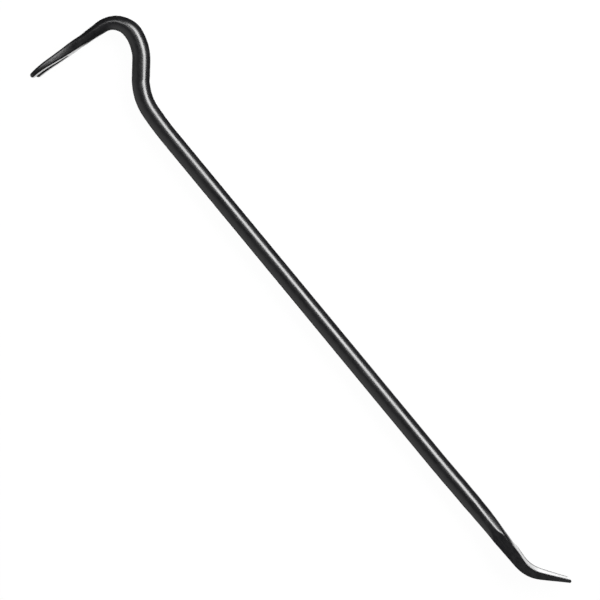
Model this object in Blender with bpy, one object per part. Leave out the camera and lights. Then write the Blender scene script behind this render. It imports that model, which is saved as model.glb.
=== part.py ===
"""Gooseneck wrecking bar: one piece of round steel, forged to a slotted claw and a chisel blade.

The bar lies on its side. X runs along the shaft from the hook to the blade, Y lies in the
plane of the bends, on the side that the hook swells to, and Z is across the claw and blade.
Sizes are in millimetres and degrees; MM turns them into metres when the mesh is made.
"""

import math

import bmesh
import bpy
from mathutils import Vector

MM = 0.001

# ---- stock and shaft ----
STOCK_DIAMETER = 19.05
SHAFT_LENGTH = 438.3          # straight round stock between the neck and the blade

# ---- swan neck and hook, in order from the shaft to the claw ----
RUN_IN_RADIUS = 374.0
RUN_IN_ANGLE = 5.4
NECK_RADIUS = 59.0
NECK_ANGLE = 36.0
NECK_STRAIGHT = 18.5
CROWN_RADIUS = 49.4
CROWN_ANGLE = 33.8
HOOK_RADIUS = 24.8
HOOK_ANGLE = 92.1
HOOK_DRAW_EASE = 0.8          # below 1, the hook thins early in its turn

# ---- claw ----
CLAW_STRAIGHT = 68.3
CLAW_CURL_RADIUS = 130.0
CLAW_CURL_ANGLE = 9.5
CLAW_ROOT_THICKNESS = 13.6
CLAW_TIP_THICKNESS = 4.4
CLAW_WIDTH = 34.0
CLAW_FLARE_LENGTH = 48.0
CLAW_PARALLEL_LENGTH = 9.0    # full width, behind the tip
CLAW_CORNER_RADIUS = 1.8
CLAW_SQUARING_LENGTH = 75.0   # from the hook's start to where the section is fully square
TINE_END_RADIUS = 4.5         # plan radius of each tine's outer corner
NOSE_FLAT_SHARE = 0.2         # of the tip's thickness, left square at the very end

# ---- nail slot ----
SLOT_LENGTH = 42.0
SLOT_MOUTH_WIDTH = 12.5
SLOT_ROOT_RADIUS = 1.6
SLOT_LEAD_IN = 2.5            # length of the mouth's flare
SLOT_LEAD_IN_SLOPE = 0.7      # outwards, for each millimetre towards the tip
SLOT_BEVEL_ANGLE = 30.0       # seat for the nail's head, on the hollow side of the claw
SLOT_BEVEL_START = 0.5        # height of the bevel's foot above the middle of the claw

# ---- chisel blade, in order from the shaft to the edge ----
LEAD_RADIUS = 600.0
LEAD_ANGLE = 0.8
LEAD_STRAIGHT = 66.5
DROP_RADIUS = 300.0
DROP_ANGLE = 1.6
DROP_STRAIGHT = 55.0
BLADE_BEND_RADIUS = 36.0
BLADE_BEND_ANGLE = 40.5
BLADE_FLAT_LENGTH = 33.0
BLADE_DRAW_LENGTH = 91.0      # where the round stock is drawn down to the heel's thickness
BLADE_HEEL_THICKNESS = 11.4
BLADE_EDGE_THICKNESS = 1.7
BLADE_WIDTH = 30.0
BLADE_FLARE_LENGTH = 46.0     # ends where the bend starts
BLADE_SQUARE_LENGTH = 20.0    # fully square, ahead of the bend
BLADE_SQUARING_LENGTH = 60.0  # where the round section turns square
BLADE_CORNER_RADIUS = 1.0

# ---- enamel ----
ENAMEL_COLOUR = (0.018, 0.018, 0.019, 1.0)
ENAMEL_ROUGHNESS = 0.32

# ---- mesh fineness ----
CORNER_POINTS = 7             # on each of the section's four corners
CORNER_GATHERING = 0.25       # share of a side that is flat once its corners' points have closed up
ARC_STEP_ANGLE = 6.0
LONG_STEP = 6.0               # between sections that change shape
CLAW_STEP = 3.0
SHAFT_STEP = 60.0
TIP_STEPS = 5                 # sections that round the claw's tip over
TIP_CLEARANCE = 0.5           # between them and the section before
SLOT_ROOT_STEPS = 8
CUTTER_HEIGHT = 14.0
CUTTER_OVERRUN = 8.0
SHARP_ANGLE = 30.0


def remove_everything():
    """Clear the scene's objects and leave the file open."""
    for obj in list(bpy.data.objects):
        bpy.data.objects.remove(obj, do_unlink=True)


def new_collection(name):
    """Add a collection to the scene."""
    collection = bpy.data.collections.new(name)
    bpy.context.scene.collection.children.link(collection)
    return collection


def smooth(t):
    """Ease from 0 to 1 with no slope at either end."""
    t = min(max(t, 0.0), 1.0)
    return t * t * (3.0 - 2.0 * t)


class Path:
    """A planar centreline grown from straight runs and arcs, with a station at each step."""

    def __init__(self, x, y, heading):
        self.stations = [(0.0, x, y, heading)]

    def run(self, length, step):
        """Go straight on."""
        travelled, x, y, heading = self.stations[-1]
        count = max(1, math.ceil(length / step))
        for i in range(1, count + 1):
            part = length * i / count
            place = (x + part * math.cos(heading), y + part * math.sin(heading))
            self.stations.append((travelled + part, *place, heading))

    def turn(self, radius, degrees):
        """Follow an arc, to the left when degrees is positive."""
        travelled, x, y, heading = self.stations[-1]
        side = math.copysign(1.0, degrees)
        sweep = math.radians(degrees)
        length = radius * abs(sweep)
        centre_x = x - side * radius * math.sin(heading)
        centre_y = y + side * radius * math.cos(heading)
        count = max(1, math.ceil(max(abs(degrees) / ARC_STEP_ANGLE, length / LONG_STEP)))
        for i in range(1, count + 1):
            angle = heading + sweep * i / count
            place = (centre_x + side * radius * math.sin(angle), centre_y - side * radius * math.cos(angle))
            self.stations.append((travelled + length * i / count, *place, angle))

    def length(self):
        """How far the path has gone."""
        return self.stations[-1][0]


def hook_path():
    """From the shaft's near end, over the swan neck and hook, to the claw's tip."""
    path = Path(0.0, 0.0, math.pi)
    path.turn(RUN_IN_RADIUS, -RUN_IN_ANGLE)
    path.turn(NECK_RADIUS, -NECK_ANGLE)
    path.run(NECK_STRAIGHT, LONG_STEP)
    path.turn(CROWN_RADIUS, CROWN_ANGLE)
    marks = {"hook_start": path.length()}
    path.turn(HOOK_RADIUS, HOOK_ANGLE)
    marks["claw_start"] = path.length()
    path.run(CLAW_STRAIGHT, CLAW_STEP)
    path.turn(CLAW_CURL_RADIUS, CLAW_CURL_ANGLE)
    marks["tip"] = path.length()
    return path, marks


def blade_path():
    """From the shaft's far end to the blade's edge."""
    path = Path(SHAFT_LENGTH, 0.0, 0.0)
    path.turn(LEAD_RADIUS, LEAD_ANGLE)
    path.run(LEAD_STRAIGHT, LONG_STEP)
    path.turn(DROP_RADIUS, -DROP_ANGLE)
    path.run(DROP_STRAIGHT, LONG_STEP)
    marks = {"bend_start": path.length()}
    path.turn(BLADE_BEND_RADIUS, BLADE_BEND_ANGLE)
    path.run(BLADE_FLAT_LENGTH, LONG_STEP)
    marks["tip"] = path.length()
    return path, marks


def rounded_end(distance, radius):
    """How far a side has drawn in, at a distance from a tip that is rounded over."""
    if distance >= radius:
        return 0.0
    return radius - math.sqrt(max(radius * radius - (radius - distance) ** 2, 0.0))


def claw_size(travelled, marks):
    """Half thickness, half width and corner radius of the hook and claw."""
    round_radius = STOCK_DIAMETER / 2
    to_tip = marks["tip"] - travelled
    hook_length = marks["claw_start"] - marks["hook_start"]
    in_hook = (travelled - marks["hook_start"]) / hook_length
    in_claw = (travelled - marks["claw_start"]) / (marks["tip"] - marks["claw_start"])
    if in_claw > 0:
        thickness = CLAW_ROOT_THICKNESS + (CLAW_TIP_THICKNESS - CLAW_ROOT_THICKNESS) * in_claw
    else:
        drawn = smooth(in_hook) ** HOOK_DRAW_EASE
        thickness = STOCK_DIAMETER + (CLAW_ROOT_THICKNESS - STOCK_DIAMETER) * drawn
    flared = smooth((CLAW_PARALLEL_LENGTH + CLAW_FLARE_LENGTH - to_tip) / CLAW_FLARE_LENGTH)
    width = STOCK_DIAMETER + (CLAW_WIDTH - STOCK_DIAMETER) * flared
    half_thickness = thickness / 2
    half_width = width / 2 - rounded_end(to_tip, TINE_END_RADIUS)
    squared = smooth((travelled - marks["hook_start"]) / CLAW_SQUARING_LENGTH)
    corner = round_radius + (CLAW_CORNER_RADIUS - round_radius) * squared
    half_thickness -= (1.0 - NOSE_FLAT_SHARE) * rounded_end(to_tip, CLAW_TIP_THICKNESS / 2)
    return half_thickness, half_width, min(corner, half_thickness, half_width)


def blade_size(travelled, marks):
    """Half thickness, half width and corner radius of the blade."""
    round_radius = STOCK_DIAMETER / 2
    to_tip = marks["tip"] - travelled
    heel = marks["tip"] - marks["bend_start"]
    drawn = min(max((to_tip - heel) / BLADE_DRAW_LENGTH, 0.0), 1.0)
    if to_tip > heel:
        thickness = BLADE_HEEL_THICKNESS
        thickness += (STOCK_DIAMETER - BLADE_HEEL_THICKNESS) * math.sin(drawn * math.pi / 2)
    else:
        thickness = BLADE_EDGE_THICKNESS
        thickness += (BLADE_HEEL_THICKNESS - BLADE_EDGE_THICKNESS) * to_tip / heel
    flared = smooth((heel + BLADE_FLARE_LENGTH - to_tip) / BLADE_FLARE_LENGTH)
    width = STOCK_DIAMETER + (BLADE_WIDTH - STOCK_DIAMETER) * flared
    square_from = heel + BLADE_SQUARE_LENGTH
    squared = smooth((square_from + BLADE_SQUARING_LENGTH - to_tip) / BLADE_SQUARING_LENGTH)
    corner = round_radius + (BLADE_CORNER_RADIUS - round_radius) * squared
    return thickness / 2, width / 2, min(corner, thickness / 2, width / 2)


def section(half_thickness, half_width, corner):
    """A closed outline between a circle and a rounded rectangle, as (across, up) pairs.

    Each quarter has a point on the middle of the flat and the points of its corner's arc.
    The arc's points close up on the corner as the flats grow.
    """
    flat_share = 1.0 - corner / half_thickness
    points = []
    for quarter in range(4):
        turn = quarter * math.pi / 2
        cosine, sine = round(math.cos(turn)), round(math.sin(turn))
        reach, rise = (half_thickness, half_width) if quarter % 2 == 0 else (half_width, half_thickness)
        points.append((cosine * reach, sine * reach))
        for i in range(CORNER_POINTS):
            evenly = math.pi / 2 * (i + 1) / (CORNER_POINTS + 1)
            fully = math.pi / 2 * i / (CORNER_POINTS - 1)
            angle = evenly + (fully - evenly) * smooth(flat_share / CORNER_GATHERING)
            a = reach - corner + corner * math.cos(angle)
            b = rise - corner + corner * math.sin(angle)
            points.append((cosine * a - sine * b, sine * a + cosine * b))
    return points


def ring(station, size):
    """Place a section square to the centreline, in metres."""
    _, x, y, heading = station
    across = Vector((-math.sin(heading), math.cos(heading), 0.0))
    middle = Vector((x, y, 0.0))
    return [(middle + across * a + Vector((0.0, 0.0, b))) * MM for a, b in section(*size)]


def with_rounded_tip(stations):
    """Close the claw's last stations up on its tip, so that they follow the tines' round ends."""
    travelled, x, y, heading = stations[-1]
    kept = [station for station in stations if station[0] < travelled - TINE_END_RADIUS - TIP_CLEARANCE]
    for i in range(TIP_STEPS + 1):
        back = TINE_END_RADIUS * (1.0 - math.sin(math.pi / 2 * i / TIP_STEPS))
        turned = heading - back / CLAW_CURL_RADIUS
        chord = (heading + turned) / 2
        kept.append((travelled - back, x - back * math.cos(chord), y - back * math.sin(chord), turned))
    return kept


def loft(name, outlines):
    """Skin closed outlines of equal count, in order, and close both ends."""
    mesh = bmesh.new()
    loops = [[mesh.verts.new(point) for point in outline] for outline in outlines]
    count = len(loops[0])
    for near, far in zip(loops, loops[1:]):
        for i in range(count):
            j = (i + 1) % count
            mesh.faces.new((near[i], near[j], far[j], far[i]))
    mesh.faces.new(reversed(loops[0]))
    mesh.faces.new(loops[-1])
    bmesh.ops.recalc_face_normals(mesh, faces=mesh.faces)
    data = bpy.data.meshes.new(name)
    mesh.to_mesh(data)
    mesh.free()
    return bpy.data.objects.new(name, data)


def build_bar(collection):
    """Loft the whole forging through its sections, from the claw's tip to the blade's edge."""
    hook, hook_marks = hook_path()
    blade, blade_marks = blade_path()
    rings = []
    for station in reversed(with_rounded_tip(hook.stations)):
        travelled, x, y, heading = station
        forward = (travelled, x, y, heading - math.pi)
        rings.append(ring(forward, claw_size(travelled, hook_marks)))
    round_size = (STOCK_DIAMETER / 2,) * 3
    middle_count = math.ceil(SHAFT_LENGTH / SHAFT_STEP)
    for i in range(1, middle_count):
        rings.append(ring((0.0, SHAFT_LENGTH * i / middle_count, 0.0, 0.0), round_size))
    for station in blade.stations:
        rings.append(ring(station, blade_size(station[0], blade_marks)))
    bar = loft("forged_bar", rings)
    bar.data.shade_smooth()
    bar.data.set_sharp_from_angle(angle=math.radians(SHARP_ANGLE))
    collection.objects.link(bar)
    return bar


def slot_outline(growth):
    """Half of the nail slot seen square on the claw, as (back from the tip, out from the middle).

    A round root, a straight side that is tangent to it, and a flared mouth. growth moves the
    whole outline outwards.
    """
    root = SLOT_ROOT_RADIUS + growth
    centre = SLOT_LENGTH - SLOT_ROOT_RADIUS
    mouth = SLOT_MOUTH_WIDTH / 2
    lean = math.atan2(mouth, centre) - math.asin(SLOT_ROOT_RADIUS / math.hypot(centre, mouth))
    points = []
    for i in range(SLOT_ROOT_STEPS + 1):
        angle = (math.pi / 2 - lean) * i / SLOT_ROOT_STEPS
        points.append((centre + root * math.cos(angle), root * math.sin(angle)))
    start_back, start_out = points[-1]
    straight_out = start_out + (start_back - SLOT_LEAD_IN) * math.tan(lean)
    points.append((SLOT_LEAD_IN, straight_out))
    flare = (SLOT_LEAD_IN + CUTTER_OVERRUN) * SLOT_LEAD_IN_SLOPE
    points.append((-CUTTER_OVERRUN, straight_out + flare))
    return points


def build_slot_cutter(collection):
    """A V-shaped prism that stands square on the claw, widened above by the nail head's bevel."""
    hook, marks = hook_path()
    straight_end = marks["claw_start"] + CLAW_STRAIGHT
    _, x, y, heading = min(hook.stations, key=lambda station: abs(station[0] - straight_end))
    forward = Vector((math.cos(heading), math.sin(heading), 0.0))
    up = Vector((-math.sin(heading), math.cos(heading), 0.0))
    tip = Vector((x, y, 0.0)) + forward * (marks["tip"] - straight_end)
    tilt = math.tan(math.radians(SLOT_BEVEL_ANGLE))
    layers = [(-CUTTER_HEIGHT, 0.0), (SLOT_BEVEL_START, 0.0)]
    layers.append((CUTTER_HEIGHT, (CUTTER_HEIGHT - SLOT_BEVEL_START) * tilt))
    outlines = []
    for height, growth in layers:
        half = slot_outline(growth)
        whole = half + [(back, -out) for back, out in reversed(half[1:])]
        level = tip + up * height
        outlines.append([(level - forward * back + Vector((0.0, 0.0, out))) * MM for back, out in whole])
    cutter = loft("nail_slot_cutter", outlines)
    cutter.hide_render = True
    cutter.display_type = "WIRE"
    collection.objects.link(cutter)
    return cutter


def black_enamel():
    """Smooth black stoving enamel over forged steel."""
    material = bpy.data.materials.new("black_enamel")
    material.use_nodes = True
    shader = material.node_tree.nodes["Principled BSDF"]
    shader.inputs["Base Color"].default_value = ENAMEL_COLOUR
    shader.inputs["Roughness"].default_value = ENAMEL_ROUGHNESS
    shader.inputs["Metallic"].default_value = 0.0
    return material


def stand_on_origin(bar, cutter):
    """Put the origin under the middle of the bar, on the surface that the claw's side rests on."""
    places = [vertex.co for vertex in bar.data.vertices]
    middle_x = (min(p.x for p in places) + max(p.x for p in places)) / 2
    middle_y = (min(p.y for p in places) + max(p.y for p in places)) / 2
    offset = Vector((-middle_x, -middle_y, max(CLAW_WIDTH, BLADE_WIDTH) / 2 * MM))
    bar.location = offset
    cutter.location = offset


def main():
    remove_everything()
    bar_collection = new_collection("gooseneck_wrecking_bar")
    cutter_collection = new_collection("cutters")
    bar = build_bar(bar_collection)
    bar.data.materials.append(black_enamel())
    cutter = build_slot_cutter(cutter_collection)
    slot = bar.modifiers.new("nail_slot", "BOOLEAN")
    slot.operation = "DIFFERENCE"
    slot.solver = "EXACT"
    slot.object = cutter
    stand_on_origin(bar, cutter)


main()
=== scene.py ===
"""Looks for the gooseneck wrecking bar: one forging, stoved in black enamel.

The bar's skin is worked out here as one fine surface in place of the plain solid. It is carried
along a planar centreline that starts at the claw's tip, goes over the hook and down the shaft, and
ends at the blade's edge. A point of the skin is given by s, its distance along the centreline, by
out, its distance to the centreline's left (the claw's back and the blade's upper face are there),
and by across, its height above the bar's middle plane. Distance back from the blade's edge is u.
The bar lies on its side, so the far side is the one on the table, where across is negative.
Lengths are in millimetres until they are put into a mesh.
"""

import bmesh
import bpy
import numpy as np
from mathutils import Matrix, Vector


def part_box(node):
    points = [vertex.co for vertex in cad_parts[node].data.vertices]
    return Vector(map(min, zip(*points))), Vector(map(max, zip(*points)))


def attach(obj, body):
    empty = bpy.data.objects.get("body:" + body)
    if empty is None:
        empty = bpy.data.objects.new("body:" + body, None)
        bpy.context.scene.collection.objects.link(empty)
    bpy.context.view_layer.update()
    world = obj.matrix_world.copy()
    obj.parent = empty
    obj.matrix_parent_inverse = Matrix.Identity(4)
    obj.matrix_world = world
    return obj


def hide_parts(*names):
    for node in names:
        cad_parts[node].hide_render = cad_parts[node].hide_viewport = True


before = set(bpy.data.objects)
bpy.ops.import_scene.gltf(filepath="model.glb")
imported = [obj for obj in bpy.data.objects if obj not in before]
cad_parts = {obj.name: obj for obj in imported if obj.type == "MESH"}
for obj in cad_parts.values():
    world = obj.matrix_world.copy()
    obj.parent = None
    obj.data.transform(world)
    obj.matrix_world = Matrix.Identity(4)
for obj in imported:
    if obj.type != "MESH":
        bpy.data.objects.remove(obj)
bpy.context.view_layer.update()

MM = 0.001

# ---- centreline, from the claw's tip to the blade's edge: it turns to the left, in degrees ----
CLAW_CURL_RADIUS, CLAW_CURL_ANGLE = 130.0, -9.5
CLAW_STRAIGHT = 68.3
HOOK_RADIUS, HOOK_ANGLE = 24.8, -92.1
CROWN_RADIUS, CROWN_ANGLE = 49.4, -33.8
NECK_STRAIGHT = 18.5
NECK_RADIUS, NECK_ANGLE = 59.0, 36.0
RUN_IN_RADIUS, RUN_IN_ANGLE = 374.0, 5.4
SHAFT_LENGTH = 438.3
LEAD_RADIUS, LEAD_ANGLE = 600.0, 0.8
LEAD_STRAIGHT = 66.5
DROP_RADIUS, DROP_ANGLE = 300.0, -1.6
DROP_STRAIGHT = 55.0
BLADE_BEND_RADIUS, BLADE_BEND_ANGLE = 36.0, 40.5
BLADE_FLAT_LENGTH = 33.0
BEND_EASING = 7.0             # a hammered bend starts and ends over this length

# ---- sections: the stock and the claw ----
STOCK_RADIUS = 19.05 / 2
CLAW_ROOT_THICKNESS, CLAW_TIP_THICKNESS = 13.6, 4.4
CLAW_WIDTH = 34.0
CLAW_PARALLEL_LENGTH, CLAW_FLARE_LENGTH = 9.0, 48.0
CLAW_CORNER_RADIUS, CLAW_SQUARING_LENGTH = 1.8, 75.0
HOOK_DRAW_EASE = 0.8          # the hook has thinned early, nearer to its start than to its end
OVAL_FROM, OVAL_TO = 48.0, 80.0    # from the tip: here the claw's faces turn from flat to oval
TINE_END_RADIUS = 4.5

# ---- sections: the blade, in distances back from its edge ----
BLADE_HEEL_THICKNESS, BLADE_EDGE_THICKNESS = 11.4, 3.3
BLADE_DRAW_LENGTH = 91.0
BLADE_WIDTH, BLADE_FLARE_LENGTH = 30.0, 46.0
BLADE_CORNER_RADIUS = 0.45
BLADE_END_RADIUS = 1.0        # of the edge's two corners, seen square on the blade
SIDE_FLAT_REACH = 133.0       # the hammered side flats die out this far back
SIDE_FLAT_SLOPE = 0.085
SIDE_FLAT_FULL = 104.0        # from here on the flats open out to the blade's corners
SIDE_FLAT_OPENING = 0.035
RIDGE_SOFTNESS = 0.7          # between a hammered flat and what is left of the round
RIDGE_FROM = 0.75             # share of the draw after which the faces lift clear of the round
SIDE_RIDGE_FADE = 20.0        # the sides lift clear of it over this length
NO_ROUND = 1000.0             # radius of a round that is too large to touch the section

# ---- nail slot ----
SLOT_LENGTH = 42.0
SLOT_MOUTH = 12.5 / 2
SLOT_ROOT_RADIUS = 1.6
SLOT_FLARE, SLOT_FLARE_LENGTH = 1.6, 4.0
SLOT_BOW, SLOT_BOW_SKEW = 1.7, 0.8    # of its sides, outwards, fullest a little nearer the mouth
BEVEL_FOOT = 0.5              # height of the bevel's foot below the middle of the thickness
BEVEL_SLOPE = np.tan(np.radians(30.0))
RIM_RADIUS, RIM_MOST = 0.45, 0.8      # and the most of the half thickness that a rim takes

# ---- marks of making on the claw ----
SLOT_DRIFT = 2.0              # of the slot towards the far tine
DRIFT_BEYOND, DRIFT_FADE = 12.0, 30.0     # it ends this far past the slot, and fades over this
FAR_TINE_SHORT = 2.2          # the tip is cut a little askew
TINE_BLEND = 6.0              # from the middle plane to where the far tine's mark is whole
SIDE_CROWN = 0.045            # how far the claw's sides are crowned, as a share of their reach
SIDE_CROWN_END, SIDE_CROWN_FADE = 75.0, 35.0
CLAW_SAG = 0.9                # the claw is bent a little further round than the hook, at its tip

# ---- marks of making on the blade, in distances back from its edge ----
TOP_CROWN = 2.6               # of the upper face, where the flats grow out of the round
TOP_CROWN_FROM, TOP_CROWN_RISE = 66.0, 24.0
TOP_CROWN_TO, TOP_CROWN_FALL = 152.0, 45.0
BLADE_SAG = 1.2               # the blade is bent a little further too
BLADE_SAG_BEYOND, BLADE_SAG_FADE = 20.0, 60.0     # from this far behind the heel, over this length
FAR_LIP, LIP_WIDTH = 0.60, 0.8    # the burr that was hammered up along the blade's far edge
LIP_CURVE = 1.5
LIP_BEYOND, LIP_END_FADE = 25.0, 3.0      # it starts this far behind the heel and stops at the edge
BLADE_ROLL = np.radians(-6.0)     # of the edge about the blade's length

# ---- dressing and film ----
DRESSING = 0.035              # height of the hammer's waves
HOOK_DRESSING, HOOK_MIDDLE, HOOK_SPREAD = 1.6, 98.0, 22.0     # how much more the hook was dressed
# each wave: share of the height, length / 2 pi, sway round the bar, where the sway starts, phase
WAVES = ((1.0, 4.3, 1.7, 0.0, 0.9), (0.8, 2.9, 2.3, np.pi / 2, 2.1), (0.6, 7.7, 3.1, 0.6, 0.0))
CROWN_FADE = 40.0             # past the crown the dressing dies out over this length
BLADE_DRESSING_REACH, BLADE_DRESSING_FADE = 175.0, 30.0
KINK_AT, KINK_LENGTH, KINK_DEPTH = 181.5, 4.0, 0.85   # the neck was bent over the anvil's edge
FILM = 0.14                   # thickness of the enamel
SWELL_CORE = 4.0              # the skin swells in full from this far out of the centreline

# ---- fineness ----
PATH_STEP = 0.25
COLUMNS = 64                  # half way round
CORNER_CROWDING = 0.4
ROOT_SHARE = 0.8              # of the slot's outline that is its straight side
WALL_KNOTS = (0.0, 0.25, 0.45, 0.75, 1.0)
WALL_COLUMNS = 20
SLOT_STEP, FORGED_STEP, SHAFT_STEP = 1.0, 1.2, 4.0
TIP_ROWS, ROOT_ROWS, EDGE_ROWS = 14, 16, 8
OUTER_ADVANCE = 5.0           # of the outer side while the rows turn the slot's root
SLANT_FADE = 16.0             # the rows are square to the centreline again after this length
SLOT_PULL = 1.5               # how steeply points are drawn to the slot's edge
EDGE_ROUNDING = 1.6           # length of the rows that turn over the blade's edge
WELD = 0.002
SHARP = np.radians(26.0)
TINY = 1e-6

# ---- finish: real sizes of the film's patterns ----
SCALE_MARK, SCALE_MARK_DRAW = 3.03, 2.0   # width of a mark, and how much longer it is than wide
ORANGE_PEEL = 1.176
SPECK_SPACING = 5.26
SPECK_EDGE, SPECK_HEART = 0.13, 0.05      # from a speck's middle, as shares of the spacing
HANDLED_PATCH = 25.0
BUMP_HEIGHT = 0.12
GLOSSIEST, DULLEST = 0.25, 0.32           # roughness of the film

# ---- studio, in metres ----
KEY_ANGLE = np.radians(44.5)  # of the softbox above the bar, towards the crown's side
KEY_DISTANCE = 1.5
KEY_SHIFT = 0.06              # towards the blade
KEY_WIDTH, KEY_LENGTH, KEY_POWER = 0.75, 1.72, 84.0
CARD_AT, CARD_TOWARDS = (-0.78, 0.27, 1.0), (-0.37, -0.02, 0.0)   # a small light for the hook
CARD_WIDTH, CARD_LENGTH, CARD_POWER = 0.24, 0.40, 2.6
FLOOR_HALF, FLOOR_DROP = 6.0, 0.0002
TABLE_GLOW = 0.97
CAMERA_AT = (-0.022776, 0.220764, 2.217)
CAMERA_TOWARDS = (-0.021636, 0.007474, 0.017)
CAMERA_TURN = np.radians(-50.479)
CAMERA_LENS = 125.97          # in mm, as camera lenses are

# ---- what the enamel mirrors, by the direction it is seen in ----
DIM, REFLECTOR = 0.05, 0.72
REFLECTOR_FROM, REFLECTOR_FULL = -0.2, -0.95          # Y: it fills the side away from the key
HORIZON_FROM, HORIZON_FULL, HORIZON_LEAST = -0.80, -0.1, 0.05     # Z: it fades below the horizon
SWEEP_FROM, SWEEP_FULL = -0.87, -0.95                 # Z: the sweep lies straight below
SWEEP_AT_CLAW, SWEEP_AT_BLADE = 1.9, 4.2
SWEEP_CLAW_X, SWEEP_BLADE_X = 0.06, -0.04


def smooth(t):
    """Ease from 0 to 1 with no slope at either end: 3 t squared less 2 t cubed."""
    t = np.clip(t, 0.0, 1.0)
    return t * t * (3.0 - 2.0 * t)


def soft_min(x, y, blend):
    """The smaller of two distances, less a quarter of (blend less their difference) squared over
    blend where they come closer than blend, which rounds the ridge where they cross."""
    return np.minimum(x, y) - np.maximum(blend - np.abs(x - y), 0.0) ** 2 / (4.0 * blend)


# ------------------------------------------------------------------ centreline
def arc(radius, degrees):
    """An arc as (length, turn in radians)."""
    return radius * abs(np.radians(degrees)), np.radians(degrees)


CENTRELINE = [
    arc(CLAW_CURL_RADIUS, CLAW_CURL_ANGLE),
    (CLAW_STRAIGHT, 0.0),
    arc(HOOK_RADIUS, HOOK_ANGLE),
    arc(CROWN_RADIUS, CROWN_ANGLE),
    (NECK_STRAIGHT, 0.0),
    arc(NECK_RADIUS, NECK_ANGLE),
    arc(RUN_IN_RADIUS, RUN_IN_ANGLE),
    (SHAFT_LENGTH, 0.0),
    arc(LEAD_RADIUS, LEAD_ANGLE),
    (LEAD_STRAIGHT, 0.0),
    arc(DROP_RADIUS, DROP_ANGLE),
    (DROP_STRAIGHT, 0.0),
    arc(BLADE_BEND_RADIUS, BLADE_BEND_ANGLE),
    (BLADE_FLAT_LENGTH, 0.0),
]
MARKS = np.concatenate([[0.0], np.cumsum([length for length, _ in CENTRELINE])])
TOTAL = MARKS[-1]
HOOK_END, HOOK_START, CROWN_END = MARKS[2:5]      # the hook is drawn from its start to its end
SHAFT_FROM, SHAFT_TO = MARKS[7:9]
SHAFT_MIDDLE = (SHAFT_FROM + SHAFT_TO) / 2
BLADE_HEEL = TOTAL - MARKS[12]


def centreline_table():
    """Sample the centreline: its heading is the running sum of the turns, eased over BEND_EASING,
    and its place is the running sum of the heading's direction. The shaft's heading is 0."""
    s = np.arange(-BEND_EASING, TOTAL + BEND_EASING, PATH_STEP)
    turned = np.concatenate([[0.0], np.cumsum([turn for _, turn in CENTRELINE])])
    heading = np.interp(s, MARKS, turned)
    window = np.ones(int(BEND_EASING / PATH_STEP))
    window /= window.sum()
    padded = np.pad(heading, len(window), mode="edge")
    heading = np.convolve(padded, window, mode="same")[len(window):-len(window)]
    heading -= np.interp(SHAFT_MIDDLE, s, heading)
    middle = (heading[1:] + heading[:-1]) / 2
    x = np.concatenate([[0.0], np.cumsum(np.cos(middle) * PATH_STEP)])
    y = np.concatenate([[0.0], np.cumsum(np.sin(middle) * PATH_STEP)])
    return s, x, y, heading


PATH_S, PATH_X, PATH_Y, PATH_HEADING = centreline_table()


def place(s, out, across):
    """Points as X, Y, Z: the centreline's point at s, moved by out square to its heading, with
    across as the height."""
    heading = np.interp(s, PATH_S, PATH_HEADING)
    x = np.interp(s, PATH_S, PATH_X) - np.sin(heading) * out
    y = np.interp(s, PATH_S, PATH_Y) + np.cos(heading) * out
    return np.stack([x, y, across], axis=-1)


# ------------------------------------------------------------------ sections
def drawn_in(distance, radius):
    """How far a side has drawn in at a distance from an end that is rounded to a quarter circle:
    the radius less the circle's height there."""
    rest = np.clip(radius - distance, 0.0, radius)
    return radius - np.sqrt(np.maximum(radius ** 2 - rest ** 2, 0.0))


def rounded_end(distance, radius):
    """Share of the full thickness at a distance from an end that is rounded to a half circle:
    the root of 1 less the square of how much of the radius is left."""
    left = np.clip(1.0 - distance / radius, 0.0, 1.0)
    return np.sqrt(np.maximum(1.0 - left ** 2, 0.0))


def claw_thickness(s):
    """Linear along the claw, eased from the stock's diameter around the hook."""
    in_claw = s / HOOK_END
    in_hook = (HOOK_START - s) / (HOOK_START - HOOK_END)
    drawn = smooth(in_hook) ** HOOK_DRAW_EASE
    claw = CLAW_TIP_THICKNESS + (CLAW_ROOT_THICKNESS - CLAW_TIP_THICKNESS) * in_claw
    hook = 2 * STOCK_RADIUS + (CLAW_ROOT_THICKNESS - 2 * STOCK_RADIUS) * drawn
    return np.where(s < HOOK_END, claw, hook)


def blade_thickness(u):
    """At u back from the edge: a straight wedge to the heel, then a sine up to the stock."""
    wedge = BLADE_EDGE_THICKNESS + (BLADE_HEEL_THICKNESS - BLADE_EDGE_THICKNESS) * u / BLADE_HEEL
    rise = np.sin(np.pi / 2 * np.clip((u - BLADE_HEEL) / BLADE_DRAW_LENGTH, 0.0, 1.0))
    drawn = BLADE_HEEL_THICKNESS + (2 * STOCK_RADIUS - BLADE_HEEL_THICKNESS) * rise
    return np.where(u < BLADE_HEEL, wedge, drawn)


def claw_sizes(s):
    """Half thickness, half width and corner radius on the claw and hook: a rounded rectangle,
    which flares to the claw's width and whose corners are the whole round at the hook's start."""
    a = claw_thickness(s) / 2 * rounded_end(s, CLAW_TIP_THICKNESS / 2)
    flared = smooth((CLAW_PARALLEL_LENGTH + CLAW_FLARE_LENGTH - s) / CLAW_FLARE_LENGTH)
    half_width = STOCK_RADIUS + (CLAW_WIDTH / 2 - STOCK_RADIUS) * flared
    squared = smooth((HOOK_START - s) / CLAW_SQUARING_LENGTH)
    corner = STOCK_RADIUS + (CLAW_CORNER_RADIUS - STOCK_RADIUS) * squared
    return a, half_width - drawn_in(s, TINE_END_RADIUS), corner


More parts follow.
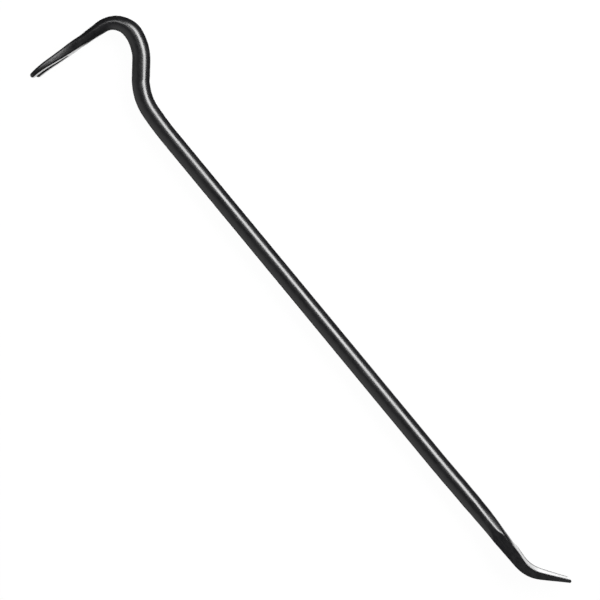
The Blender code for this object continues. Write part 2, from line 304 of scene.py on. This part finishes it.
def blade_sizes(u):
    """Half thickness, half width and the radius of the round that is left, at u back from the
    edge: flats cut into the round, until only the flats and their corners are left. The side
    flats' height is a slope plus a square, and the round that is left passes through its end."""
    ridge_to = (1.0 - RIDGE_FROM) * BLADE_DRAW_LENGTH
    lift = RIDGE_SOFTNESS * smooth((u - BLADE_HEEL - RIDGE_FROM * BLADE_DRAW_LENGTH) / ridge_to)
    a = blade_thickness(u) / 2 * rounded_end(u, BLADE_EDGE_THICKNESS / 2) + lift
    flared = smooth((BLADE_HEEL + BLADE_FLARE_LENGTH - u) / BLADE_FLARE_LENGTH)
    half_width = STOCK_RADIUS + (BLADE_WIDTH / 2 - STOCK_RADIUS) * flared
    side_flat = SIDE_FLAT_SLOPE * np.maximum(SIDE_FLAT_REACH - u, 0.0)
    side_flat += SIDE_FLAT_OPENING * np.maximum(SIDE_FLAT_FULL - u, 0.0) ** 2
    side_lift = RIDGE_SOFTNESS * smooth((u - SIDE_FLAT_REACH) / SIDE_RIDGE_FADE)
    b = half_width - drawn_in(u, BLADE_END_RADIUS) + side_lift
    return a, b, np.hypot(half_width, side_flat)


def section_sizes(s):
    """Half thickness, half width, corner radius, radius of the round that is left, and how far the
    section is an oval rather than a rectangle, from 0 to 1."""
    claw_side = s < SHAFT_MIDDLE
    claw_a, claw_b, claw_c = claw_sizes(s)
    blade_a, blade_b, blade_round = blade_sizes(TOTAL - s)
    a = np.where(claw_side, claw_a, blade_a)
    b = np.where(claw_side, claw_b, blade_b)
    c = np.minimum(np.where(claw_side, claw_c, BLADE_CORNER_RADIUS), np.minimum(a, b))
    left_round = np.where(claw_side, NO_ROUND, blade_round)
    oval = np.where(claw_side, smooth((s - OVAL_FROM) / (OVAL_TO - OVAL_FROM)), 0.0)
    return a, b, c, left_round, oval


def section_point(s, phi):
    """The skin at direction phi round the centreline, 0 to the left and pi to the right, as
    (out, across). The outline is the ray's meeting with a rectangle a by b whose corners have
    radius c, or with the ellipse of the same size as far as the section is oval, or with the
    round that is left, whichever is nearer, with a soft ridge between."""
    a, b, c, left_round, oval = section_sizes(s)
    thin = a < TINY
    a_safe = np.where(thin, TINY, a)
    ray_a = np.minimum(a_safe, left_round) * np.cos(phi)
    ray_b = np.minimum(b, left_round) * np.sin(phi)
    size = np.hypot(ray_a, ray_b)
    ca, cb = np.abs(ray_a) / size, np.abs(ray_b) / size
    flat = np.minimum(a_safe / np.maximum(ca, 1e-9), b / np.maximum(cb, 1e-9))
    middle_a, middle_b = a_safe - c, b - c
    along = ca * middle_a + cb * middle_b
    inside = np.maximum(along ** 2 - middle_a ** 2 - middle_b ** 2 + c ** 2, 0.0)
    cornered = (flat * ca > middle_a) & (flat * cb > middle_b)
    r = np.where(cornered, along + np.sqrt(inside), flat)
    r = r + (1.0 / np.hypot(ca / a_safe, cb / b) - r) * oval
    r = soft_min(r, left_round, RIDGE_SOFTNESS)
    out = np.where(thin, 0.0, r * ray_a / size)
    return out, r * ray_b / size


# ------------------------------------------------------------------ nail slot
def slot_outline(sigma, growth):
    """Half of the slot seen square on the claw, as (distance from the tip, out from the middle).

    sigma runs from 0 at the mouth to 1 at the root: a side up to ROOT_SHARE, tangent to the root's
    circle, then the circle. growth moves the outline outwards. The side is a straight line, plus a
    flare at the mouth that goes as the square of the distance, plus a bow that is the square of a
    sine along its length."""
    centre = SLOT_LENGTH - SLOT_ROOT_RADIUS
    reach = np.hypot(centre, SLOT_MOUTH)
    lean = np.arctan2(SLOT_MOUTH, centre) - np.arcsin(SLOT_ROOT_RADIUS / reach)
    root = SLOT_ROOT_RADIUS + growth
    tangent_s, tangent_out = centre + root * np.sin(lean), root * np.cos(lean)
    side_s = tangent_s * np.clip(sigma / ROOT_SHARE, 0.0, 1.0)
    side_out = tangent_out + (tangent_s - side_s) * np.tan(lean)
    side_out = side_out + SLOT_FLARE * np.clip(1.0 - side_s / SLOT_FLARE_LENGTH, 0.0, 1.0) ** 2
    along = np.clip(side_s / tangent_s, 0.0, 1.0) ** SLOT_BOW_SKEW
    side_out = side_out + SLOT_BOW * np.sin(np.pi * along) ** 2
    round_share = np.clip((sigma - ROOT_SHARE) / (1.0 - ROOT_SHARE), 0.0, 1.0)
    turn = (np.pi / 2 - lean) * (1.0 - round_share)
    in_root = sigma > ROOT_SHARE
    s = np.where(in_root, centre + root * np.cos(turn), side_s)
    return s, np.where(in_root, root * np.sin(turn), side_out)


def wall_profile(a, k):
    """Across the slot's wall where the claw is 2 a thick, as (share of a, growth): k runs from 0
    on the back's skin to 1 on the hollow's. A rim that turns through a quadratic curve, a wall
    square to the back, a bevel that leans out from its foot, and another rim."""
    rim = np.minimum(RIM_RADIUS, a * RIM_MOST)
    foot = np.minimum(BEVEL_FOOT, a)
    cut = np.minimum(rim, (a - foot) / 2)
    no_growth = 0.0 * a
    heights = [a, a - rim, -foot, cut - a, -a]
    growths = [rim, no_growth, no_growth, (a - foot - cut) * BEVEL_SLOPE,
               (a - foot) * BEVEL_SLOPE + rim]
    middles = [((h0 + h1) / 2, (g0 + g1) / 2)
               for h0, h1, g0, g1 in zip(heights, heights[1:], growths, growths[1:])]
    middles[0] = (a, no_growth)
    middles[3] = (-a, (a - foot) * BEVEL_SLOPE)
    out, grown = [], []
    for piece, (h_middle, g_middle) in enumerate(middles):
        first, last = WALL_KNOTS[piece:piece + 2]
        t = np.clip((k - first) / (last - first), 0.0, 1.0)
        start, between, end = (1 - t) ** 2, 2 * t * (1 - t), t ** 2
        out.append(start * heights[piece] + between * h_middle + end * heights[piece + 1])
        grown.append(start * growths[piece] + between * g_middle + end * growths[piece + 1])
    inside = [k <= knot for knot in WALL_KNOTS[1:4]]
    share = np.select(inside, out[:3], out[3]) / np.maximum(a, TINY)
    return share, np.select(inside, grown[:3], grown[3])


# ------------------------------------------------------------------ the skin's grid
def stepped(first, last, step):
    """Even steps from first to last, without first."""
    count = max(1, int(np.ceil((last - first) / step)))
    return first + (last - first) * np.arange(1, count + 1) / count


def quarter_eased(length, count):
    """Distances from an end that is rounded over, close together at the end: the length times
    1 less the cosine of even steps through a quarter turn."""
    return length * (1.0 - np.cos(np.pi / 2 * np.arange(count + 1) / count))


def skin_rows():
    """For each row of the skin: its distance along the outer side, and, on the back and on the
    hollow, the distance and half gap where it meets the slot or the middle plane. Along the slot
    the rows follow its outline. Behind it they slant, and the slant fades out."""
    near_tip = quarter_eased(TINE_END_RADIUS, TIP_ROWS)
    centre = SLOT_LENGTH - SLOT_ROOT_RADIUS
    straight = np.concatenate([near_tip, stepped(near_tip[-1], centre, SLOT_STEP)])
    round_root = stepped(ROOT_SHARE, 1.0, (1.0 - ROOT_SHARE) / ROOT_ROWS)
    sigma = np.concatenate([straight / centre * ROOT_SHARE, round_root])
    nominal = slot_outline(sigma, 0.0)[0]
    a = section_sizes(nominal)[0]
    growth = wall_profile(a[:, None], np.array([0.0, 1.0])[None, :])[1]
    back = slot_outline(sigma, growth[:, 0])
    hollow = slot_outline(sigma, growth[:, 1])
    in_root = np.clip((sigma - ROOT_SHARE) / (1.0 - ROOT_SHARE), 0.0, 1.0)
    outer = np.minimum(sigma / ROOT_SHARE, 1.0) * centre + OUTER_ADVANCE * in_root
    rest = np.concatenate([
        stepped(outer[-1], SHAFT_FROM, FORGED_STEP),
        stepped(SHAFT_FROM, SHAFT_TO, SHAFT_STEP),
        stepped(SHAFT_TO, TOTAL - EDGE_ROUNDING, FORGED_STEP),
        (TOTAL - quarter_eased(EDGE_ROUNDING, EDGE_ROWS))[::-1][1:],
    ])
    fade = 1.0 - smooth((rest - outer[-1]) / SLANT_FADE)
    zeros = np.zeros_like(rest)
    outer_all = np.concatenate([outer, rest])
    back_s = np.concatenate([back[0], rest + (back[0][-1] - outer[-1]) * fade])
    hollow_s = np.concatenate([hollow[0], rest + (hollow[0][-1] - outer[-1]) * fade])
    back_gap = np.concatenate([back[1][:-1], [0.0], zeros])
    hollow_gap = np.concatenate([hollow[1][:-1], [0.0], zeros])
    return sigma, a, outer_all, (back_s, back_gap), (hollow_s, hollow_gap)


def half_round():
    """Directions from the back's middle line round one side to the hollow's, crowded together at
    the section's two corners: in each quarter turn, a share of a line plus the rest of a cube."""
    v = np.linspace(-1.0, 1.0, COLUMNS // 2 + 1)
    quarter = np.pi / 4 * (1.0 + v * (CORNER_CROWDING + (1.0 - CORNER_CROWDING) * v ** 2))
    return np.concatenate([quarter, np.pi / 2 + quarter[1:]])


def skin_grid():
    """One half of the skin as (s, out, across): every row runs from the back's inner line round
    the outer side to the hollow's inner line, and the points slide towards the slot's edge by
    their nearness to it, which falls as the direction's tangent grows."""
    _, _, outer, back, hollow = skin_rows()
    phi = half_round()[None, :]
    nearness = 1.0 - np.minimum(np.abs(np.tan(phi)), 1.0)
    on_back = phi < np.pi / 2
    inner_s = np.where(on_back, back[0][:, None], hollow[0][:, None])
    gap = np.where(on_back, back[1][:, None], hollow[1][:, None])
    s = outer[:, None] + (inner_s - outer[:, None]) * nearness
    s[:, 0], s[:, -1] = back[0], hollow[0]
    out, across = section_point(s, phi)
    across = across + gap * nearness ** SLOT_PULL
    across[:, 0], across[:, -1] = back[1], hollow[1]
    return s, out, across


def wall_grid():
    """One side of the slot as (s, out, across): the outline carried through the wall's profile,
    whose height is taken from the skin's thickness on the back and on the hollow in turn."""
    sigma, a, _, back, hollow = skin_rows()
    k = np.linspace(0.0, 1.0, WALL_COLUMNS + 1)[None, :]
    share, growth = wall_profile(a[:, None], k)
    s, across = slot_outline(sigma[:, None], growth)
    a_back = section_sizes(back[0][:len(sigma)])[0]
    a_hollow = section_sizes(hollow[0][:len(sigma)])[0]
    out = share * (a_back[:, None] * (1.0 - k) + a_hollow[:, None] * k)
    across[-1, :] = 0.0
    return s, out, across


# ------------------------------------------------------------------ marks of making
# Each of these moves a point by its own place alone, so points that share a place stay together
# and the seams between the grids still close.
def claw_marks(s, out, across):
    """The claw as it came from the anvil. The slot drifts sideways, by an amount that falls with
    the square of across to nothing at the sides. The far tine is shorter, by the square of the
    nearness to its tip. The sides are crowned by the square of out, and the whole claw is eased
    a little further round."""
    in_slot = smooth((SLOT_LENGTH + DRIFT_BEYOND - s) / DRIFT_FADE)
    inside = np.maximum(1.0 - (across / (CLAW_WIDTH / 2)) ** 2, 0.0)
    across = across - SLOT_DRIFT * in_slot * inside
    far = smooth(-across / TINE_BLEND)
    s = s + FAR_TINE_SHORT * far * np.clip(1.0 - s / SLOT_LENGTH, 0.0, 1.0) ** 2
    half_thickness = np.maximum(section_sizes(s)[0], 1.0)
    crowned = SIDE_CROWN * smooth((SIDE_CROWN_END - s) / SIDE_CROWN_FADE)
    across = across * (1.0 - crowned * (out / half_thickness) ** 2)
    return s, out - CLAW_SAG * smooth((HOOK_START - s) / HOOK_START), across


def blade_marks(u, out, across):
    """The blade as it came from the anvil. Ahead of it the upper face is crowned by the square of
    across. The whole blade is eased a little further round, a burr rises by a power of the
    nearness to its far edge, and its end is rolled, by an angle that is eased from the heel."""
    half_thickness, half_width = section_sizes(TOTAL - u)[:2]
    crown = TOP_CROWN * smooth((u - TOP_CROWN_FROM) / TOP_CROWN_RISE)
    crown = crown * smooth((TOP_CROWN_TO - u) / TOP_CROWN_FALL)
    above = np.maximum(out, 0.0) / np.maximum(half_thickness, 1.0)
    out = out - crown * (across / half_width) ** 2 * above
    out = out - BLADE_SAG * smooth((BLADE_HEEL + BLADE_SAG_BEYOND - u) / BLADE_SAG_FADE)
    at_edge = np.clip((-across - half_width + LIP_WIDTH) / LIP_WIDTH, 0.0, 1.0) ** LIP_CURVE
    on_blade = smooth((BLADE_HEEL + LIP_BEYOND - u) / LIP_BEYOND) * smooth(u / LIP_END_FADE)
    out = out + FAR_LIP * at_edge * on_blade * (out > 0.0)
    roll = BLADE_ROLL * smooth((BLADE_HEEL - u) / BLADE_HEEL)
    rolled_out = out * np.cos(roll) - across * np.sin(roll)
    return rolled_out, out * np.sin(roll) + across * np.cos(roll)


def hammered(s, out, across):
    """How far the skin stands proud where it was dressed: a sum of slow sine waves along the bar,
    each swaying round it as a cosine, whose lengths share no multiple. They are higher round the
    hook's middle, by a bell curve, and the bend's kink on the neck's back is another, inwards."""
    around = np.arctan2(across, out)
    waves = sum(
        height * np.sin(s / length + sway * np.cos(around + start) + phase)
        for height, length, sway, start, phase in WAVES)
    harder = 1.0 + HOOK_DRESSING * np.exp(-((s - HOOK_MIDDLE) / HOOK_SPREAD) ** 2)
    kink = KINK_DEPTH * np.exp(-((s - KINK_AT) / KINK_LENGTH) ** 2)
    return DRESSING * harder * waves - kink * smooth(0.5 + 0.5 * np.cos(around))


def forged(s, out, across):
    """The ideal shape with the marks of its making, in place: the claw's and the blade's, then a
    swell away from the centreline by the hammer's waves, which die out towards the untouched
    stock, and by the film of enamel."""
    u = TOTAL - s
    s, out, across = claw_marks(s, out, across)
    out, across = blade_marks(u, out, across)
    untouched = smooth((s - CROWN_END) / CROWN_FADE)
    untouched = untouched * smooth((u - BLADE_DRESSING_REACH) / BLADE_DRESSING_FADE)
    swell = hammered(s, out, across) * (1.0 - untouched) + FILM
    size = np.maximum(np.hypot(out, across), TINY)
    swell = swell * smooth(size / SWELL_CORE)
    return place(s, out + swell * out / size, across + swell * across / size)


# ------------------------------------------------------------------ mesh
def grid_faces(rows, columns, first, flipped):
    """Quads of a grid of rows by columns points, numbered from first."""
    i, j = np.meshgrid(np.arange(rows - 1), np.arange(columns - 1), indexing="ij")
    a = first + i * columns + j
    quads = np.stack([a, a + 1, a + columns + 1, a + columns], axis=-1).reshape(-1, 4)
    return quads[:, ::-1] if flipped else quads


def mesh_from_grids(name, grids):
    """A closed mesh from grids of points that share their edges: the doubles are merged first,
    and then the faces are turned outwards."""
    points, faces, first = [], [], 0
    for grid, flipped in grids:
        rows, columns = grid.shape[:2]
        points.append(grid.reshape(-1, 3))
        faces.append(grid_faces(rows, columns, first, flipped))
        first += rows * columns
    points, faces = np.concatenate(points), np.concatenate(faces)
    data = bpy.data.meshes.new(name)
    data.vertices.add(len(points))
    data.vertices.foreach_set("co", points.astype(np.float32).ravel())
    data.loops.add(faces.size)
    data.loops.foreach_set("vertex_index", faces.astype(np.int32).ravel())
    data.polygons.add(len(faces))
    data.polygons.foreach_set("loop_start", np.arange(0, faces.size, 4, dtype=np.int32))
    data.update(calc_edges=True)
    welded = bmesh.new()
    welded.from_mesh(data)
    bmesh.ops.remove_doubles(welded, verts=welded.verts, dist=WELD * MM)
    bmesh.ops.dissolve_degenerate(welded, edges=welded.edges, dist=WELD * MM)
    bmesh.ops.recalc_face_normals(welded, faces=welded.faces)
    welded.to_mesh(data)
    welded.free()
    data.shade_smooth()
    data.set_sharp_from_angle(angle=SHARP)
    return data


def build_bar():
    """Both halves of the skin and of the slot's wall. The shape without its marks of making is
    centred in the solid's box, so that the marks stand where the solid is plain."""
    grids = []
    for s, out, across in (skin_grid(), wall_grid()):
        grids.append((forged(s, out, across), False))
        grids.append((forged(s, out, -across), True))
    low, high = [np.array(corner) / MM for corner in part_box("forged_bar")]
    ideal = place(*skin_grid()).reshape(-1, 3)
    shift = (low + high) / 2
    shift[:2] -= (ideal.min(0)[:2] + ideal.max(0)[:2]) / 2
    placed = [((grid + shift) * MM, flipped) for grid, flipped in grids]
    bar = bpy.data.objects.new("wrecking_bar_skin", mesh_from_grids("wrecking_bar_skin", placed))
    bpy.context.scene.collection.objects.link(bar)
    return bar


# ------------------------------------------------------------------ materials
def from_hex(code):
    """An sRGB hex colour as linear RGBA."""
    channels = [int(code[i:i + 2], 16) / 255 for i in (1, 3, 5)]
    linear = [c / 12.92 if c <= 0.04045 else ((c + 0.055) / 1.055) ** 2.4 for c in channels]
    return (*linear, 1.0)


def add_node(tree, kind, settings=None, links=None):
    """Add a node, set its properties and sockets, and link other sockets into it."""
    node = tree.nodes.new(kind)
    for key, value in (settings or {}).items():
        if isinstance(key, str) and hasattr(node, key):
            setattr(node, key, value)
        else:
            node.inputs[key].default_value = value
    for socket, source in (links or {}).items():
        tree.links.new(source, node.inputs[socket])
    return node


def stoving_enamel():
    """Black stoving enamel, dipped or sprayed over descaled forged steel and baked: a semi-gloss
    film that shows a soft-edged window of light. The film is never even. It lies in a faint orange
    peel, is a little duller where it was dressed or handled, holds dust nibs and pinholes, and
    rounds over the hammer's and the scale's marks in the steel beneath."""
    material = bpy.data.materials.new("black_stoving_enamel")
    material.use_nodes = True
    tree = material.node_tree
    shader = tree.nodes["Principled BSDF"]
    coords = add_node(tree, "ShaderNodeTexCoord").outputs["Object"]
    # steel under the film: scale marks, drawn out along the bar, about 6 mm by 3 mm
    drawn = add_node(
        tree, "ShaderNodeMapping", {"Scale": (1.0 / SCALE_MARK_DRAW, 1.0, 1.0)},
        {"Vector": coords}).outputs[0]
    scale_marks = add_node(
        tree, "ShaderNodeTexNoise",
        {"Scale": 1.0 / (SCALE_MARK * MM), "Detail": 2.0, "Roughness": 0.5},
        {"Vector": drawn}).outputs[0]
    # the film's orange peel, about 1.2 mm from crest to crest
    peel = add_node(
        tree, "ShaderNodeTexNoise",
        {"Scale": 1.0 / (ORANGE_PEEL * MM), "Detail": 0.0, "Roughness": 0.4},
        {"Vector": coords}).outputs[0]
    # dust nibs and pinholes: 0.5 mm specks at the middles of 5 mm cells, drawn coarser than the
    # 0.1 to 0.3 mm of real ones so that they still show
    cells = add_node(
        tree, "ShaderNodeTexVoronoi",
        {"feature": "F1", "Scale": 1.0 / (SPECK_SPACING * MM), "Randomness": 1.0},
        {"Vector": coords}).outputs["Distance"]
    speck = add_node(
        tree, "ShaderNodeMapRange",
        {"interpolation_type": "SMOOTHSTEP", 1: SPECK_EDGE, 2: SPECK_HEART, 3: 0.0, 4: 1.0},
        {0: cells}).outputs[0]
    # height: five parts of the scale marks and one of the peel, less the specks
    uneven = add_node(
        tree, "ShaderNodeMath", {"operation": "MULTIPLY_ADD", 1: 5.0},
        {0: scale_marks, 2: peel}).outputs[0]
    pitted = add_node(
        tree, "ShaderNodeMath", {"operation": "MULTIPLY_ADD", 1: -2.5},
        {0: speck, 2: uneven}).outputs[0]
    bump = add_node(
        tree, "ShaderNodeBump", {"Strength": 0.02, "Distance": BUMP_HEIGHT * MM},
        {"Height": pitted})
    # colour: a deep black that greys a little where the film is thin over the scale marks
    colour = add_node(tree, "ShaderNodeValToRGB", links={0: scale_marks})
    thick, thin = colour.color_ramp.elements
    thick.position, thick.color = 0.35, from_hex("#050506")
    thin.position, thin.color = 0.75, from_hex("#0c0c0d")
    # gloss: patches of handling, about 25 mm across, with a little of the scale marks' unevenness
    patches = add_node(
        tree, "ShaderNodeTexNoise",
        {"Scale": 1.0 / (HANDLED_PATCH * MM), "Detail": 2.0, "Roughness": 0.55},
        {"Vector": coords}).outputs[0]
    mixed = add_node(
        tree, "ShaderNodeMath", {"operation": "MULTIPLY_ADD", 1: 0.3},
        {0: scale_marks, 2: patches}).outputs[0]
    gloss = add_node(
        tree, "ShaderNodeMapRange", {1: 0.45, 2: 0.85, 3: GLOSSIEST, 4: DULLEST}, {0: mixed})
    tree.links.new(colour.outputs[0], shader.inputs["Base Color"])
    tree.links.new(gloss.outputs[0], shader.inputs["Roughness"])
    tree.links.new(bump.outputs[0], shader.inputs["Normal"])
    shader.inputs["IOR"].default_value = 1.5
    return material


def opal_light_table():
    """Opal acrylic, cast in a sheet and lit from below: an even matt white with no highlight of
    its own, in which the bar leaves only a faint shadow."""
    material = bpy.data.materials.new("opal_light_table")
    material.use_nodes = True
    shader = material.node_tree.nodes["Principled BSDF"]
    shader.inputs["Base Color"].default_value = from_hex("#202020")
    shader.inputs["Roughness"].default_value = 0.9
    shader.inputs["Specular IOR Level"].default_value = 0.0
    shader.inputs["Emission Color"].default_value = from_hex("#ffffff")
    shader.inputs["Emission Strength"].default_value = TABLE_GLOW
    return material


def studio_floor():
    """The light table's top, just under the bar. The enamel doesn't mirror it: what it mirrors
    is the studio's world."""
    half, top = FLOOR_HALF, -FLOOR_DROP
    corners = [(-half, -half, top), (half, -half, top), (half, half, top), (-half, half, top)]
    mesh = bpy.data.meshes.new("floor")
    mesh.from_pydata(corners, [], [(0, 1, 2, 3)])
    mesh.materials.append(opal_light_table())
    floor = bpy.data.objects.new("floor", mesh)
    bpy.context.scene.collection.objects.link(floor)
    floor.visible_glossy = False


# ------------------------------------------------------------------ light and camera
def area_light(name, stands_at, towards, width, length, power):
    """A rectangular softbox: width runs across the bar and length along it."""
    data = bpy.data.lights.new(name, "AREA")
    data.shape = "RECTANGLE"
    data.size, data.size_y = length, width
    data.energy = power
    lamp = bpy.data.objects.new(name, data)
    bpy.context.scene.collection.objects.link(lamp)
    away = (Vector(stands_at) - Vector(towards)).normalized()
    side = Vector((1.0, 0.0, 0.0))
    side = (side - away * side.dot(away)).normalized()
    turn = Matrix((side, away.cross(side), away)).transposed().to_4x4()
    lamp.matrix_world = Matrix.Translation(stands_at) @ turn


def studio_world():
    """A dim studio in reflections: a pale reflector low on the side away from the key, and the
    white sweep straight below. Everything else sees even white, which fills the floor."""
    world = bpy.data.worlds.new("studio")
    bpy.context.scene.world = world
    world.use_nodes = True
    tree = world.node_tree
    tree.nodes.clear()
    glossy = add_node(tree, "ShaderNodeLightPath").outputs["Is Glossy Ray"]
    coords = add_node(tree, "ShaderNodeTexCoord").outputs["Generated"]
    direction = add_node(tree, "ShaderNodeSeparateXYZ", links={0: coords}).outputs
    reflector = add_node(
        tree, "ShaderNodeMapRange",
        {"interpolation_type": "SMOOTHSTEP", 1: REFLECTOR_FROM, 2: REFLECTOR_FULL,
         3: 0.0, 4: REFLECTOR},
        {0: direction["Y"]}).outputs[0]
    below = add_node(
        tree, "ShaderNodeMapRange",
        {"interpolation_type": "SMOOTHSTEP", 1: SWEEP_FROM, 2: SWEEP_FULL, 3: 0.0, 4: 1.0},
        {0: direction["Z"]}).outputs[0]
    brightness = add_node(
        tree, "ShaderNodeMapRange",
        {"interpolation_type": "SMOOTHSTEP", 1: SWEEP_CLAW_X, 2: SWEEP_BLADE_X,
         3: SWEEP_AT_CLAW, 4: SWEEP_AT_BLADE},
        {0: direction["X"]}).outputs[0]
    sweep = add_node(
        tree, "ShaderNodeMath", {"operation": "MULTIPLY_ADD", 2: DIM},
        {0: below, 1: brightness}).outputs[0]
    above = add_node(
        tree, "ShaderNodeMapRange",
        {"interpolation_type": "SMOOTHSTEP", 1: HORIZON_FROM, 2: HORIZON_FULL,
         3: HORIZON_LEAST, 4: 1.0},
        {0: direction["Z"]}).outputs[0]
    level = add_node(
        tree, "ShaderNodeMath", {"operation": "MULTIPLY_ADD"},
        {0: reflector, 1: above, 2: sweep}).outputs[0]
    reflected = add_node(tree, "ShaderNodeBackground", {"Strength": 1.0}, {"Color": level})
    white = add_node(
        tree, "ShaderNodeBackground", {"Color": from_hex("#ffffff"), "Strength": 1.0})
    seen = add_node(
        tree, "ShaderNodeMixShader",
        links={0: glossy, 1: white.outputs[0], 2: reflected.outputs[0]})
    add_node(tree, "ShaderNodeOutputWorld", links={0: seen.outputs[0]})


def overhead_camera():
    """The camera stands over the bar, a little towards the hook's crown, and is turned so that
    the shaft runs from the upper left to the lower right."""
    eye = Vector(CAMERA_AT)
    forward = (Vector(CAMERA_TOWARDS) - eye).normalized()
    along = (Vector((1.0, 0.0, 0.0)) - forward * forward.x).normalized()
    beyond = (-forward).cross(along)
    right = along * np.cos(CAMERA_TURN) - beyond * np.sin(CAMERA_TURN)
    up = along * np.sin(CAMERA_TURN) + beyond * np.cos(CAMERA_TURN)
    data = bpy.data.cameras.new("camera")
    data.sensor_width = 36.0
    data.lens = CAMERA_LENS
    data.clip_start, data.clip_end = 0.05, 50.0
    camera = bpy.data.objects.new("camera", data)
    bpy.context.scene.collection.objects.link(camera)
    turn = Matrix((right, up, -forward)).transposed().to_4x4()
    camera.matrix_world = Matrix.Translation(eye) @ turn
    bpy.context.scene.camera = camera


# ------------------------------------------------------------------ the scene
bar = build_bar()
bar.data.materials.append(stoving_enamel())
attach(bar, "root")
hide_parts("forged_bar")

studio_floor()
studio_world()
key_at = (KEY_SHIFT, KEY_DISTANCE * np.sin(KEY_ANGLE), KEY_DISTANCE * np.cos(KEY_ANGLE))
area_light("key", key_at, (0.0, 0.0, 0.0), KEY_WIDTH, KEY_LENGTH, KEY_POWER)
area_light("card", CARD_AT, CARD_TOWARDS, CARD_WIDTH, CARD_LENGTH, CARD_POWER)
overhead_camera()
bpy.context.scene.view_settings.view_transform = "Standard"
